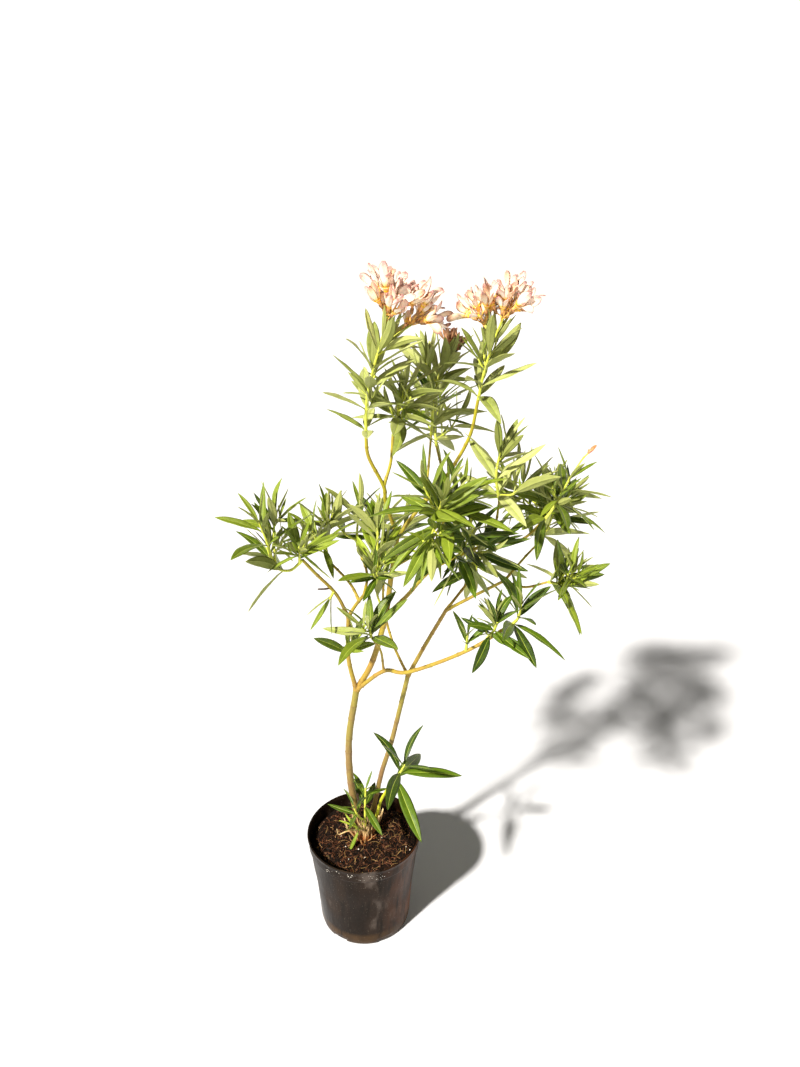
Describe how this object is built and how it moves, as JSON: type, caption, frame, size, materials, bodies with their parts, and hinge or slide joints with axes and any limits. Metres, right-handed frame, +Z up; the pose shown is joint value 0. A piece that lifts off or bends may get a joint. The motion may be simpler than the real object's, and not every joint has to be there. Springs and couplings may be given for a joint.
{
  "type": "potted oleander",
  "caption": "Young multi-stemmed evergreen shrub with whorls of slender leaves and small flower clusters, standing in a round nursery pot.",
  "frame": {"origin": "centre of the flat underside of the pot", "axes": "+Z up along the pot's own axis, +Y towards the back of the plant, +X to its right seen from the front"},
  "size_m": [0.5552, 0.4337, 1.1471],
  "materials": {
    "pot_plastic": "moulded, satin, dusty",
    "potting_soil": "moist, crumbly",
    "bark": "smooth bark with leaf scars",
    "young_bark": "smooth young bark",
    "foliage": "leathery leaves"
  },
  "bodies": {
    "root": {"pot": "pot_plastic", "soil": "potting_soil", "stem_left": "bark", "stem_right": "bark", "stem_sucker": "bark", "bough_centre": "young_bark", "bough_cross": "young_bark", "bough_front": "young_bark", "bough_front_right": "young_bark", "bough_gold": "young_bark", "bough_gold_back": "young_bark", "bough_gold_far": "young_bark", "bough_gold_up": "young_bark", "bough_left": "young_bark", "bough_left_back": "young_bark", "bough_left_front": "young_bark", "bough_left_mid": "young_bark", "bough_left_outer": "young_bark", "bough_low": "young_bark", "bough_main": "young_bark", "bough_rear": "young_bark", "bough_rear_top": "young_bark", "bough_right": "young_bark", "bough_right_back": "young_bark", "bough_right_far": "young_bark", "bough_right_low": "young_bark", "bough_right_tip": "young_bark", "bough_top_left": "young_bark", "bough_top_mid": "young_bark", "bough_top_right": "young_bark", "foliage_basal": "foliage", "foliage_centre": "foliage", "foliage_centre_low": "foliage", "foliage_centre_top": "foliage", "foliage_cross_node": "foliage", "foliage_cross_side": "foliage", "foliage_cross_tip": "foliage", "foliage_front": "foliage", "foliage_front_right": "foliage", "foliage_gold": "foliage", "foliage_gold_back": "foliage", "foliage_gold_far": "foliage", "foliage_gold_up": "foliage", "foliage_left_back": "foliage", "foliage_left_front": "foliage", "foliage_left_low": "foliage", "foliage_left_mid": "foliage", "foliage_left_outer": "foliage", "foliage_left_spur": "foliage", "foliage_rear": "foliage", "foliage_rear_top": "foliage", "foliage_right_back": "foliage", "foliage_right_far": "foliage", "foliage_right_tip": "foliage", "foliage_sucker": "foliage", "foliage_top_left": "foliage", "foliage_top_mid": "foliage", "foliage_top_right": "foliage"}
  },
  "joints": []
}
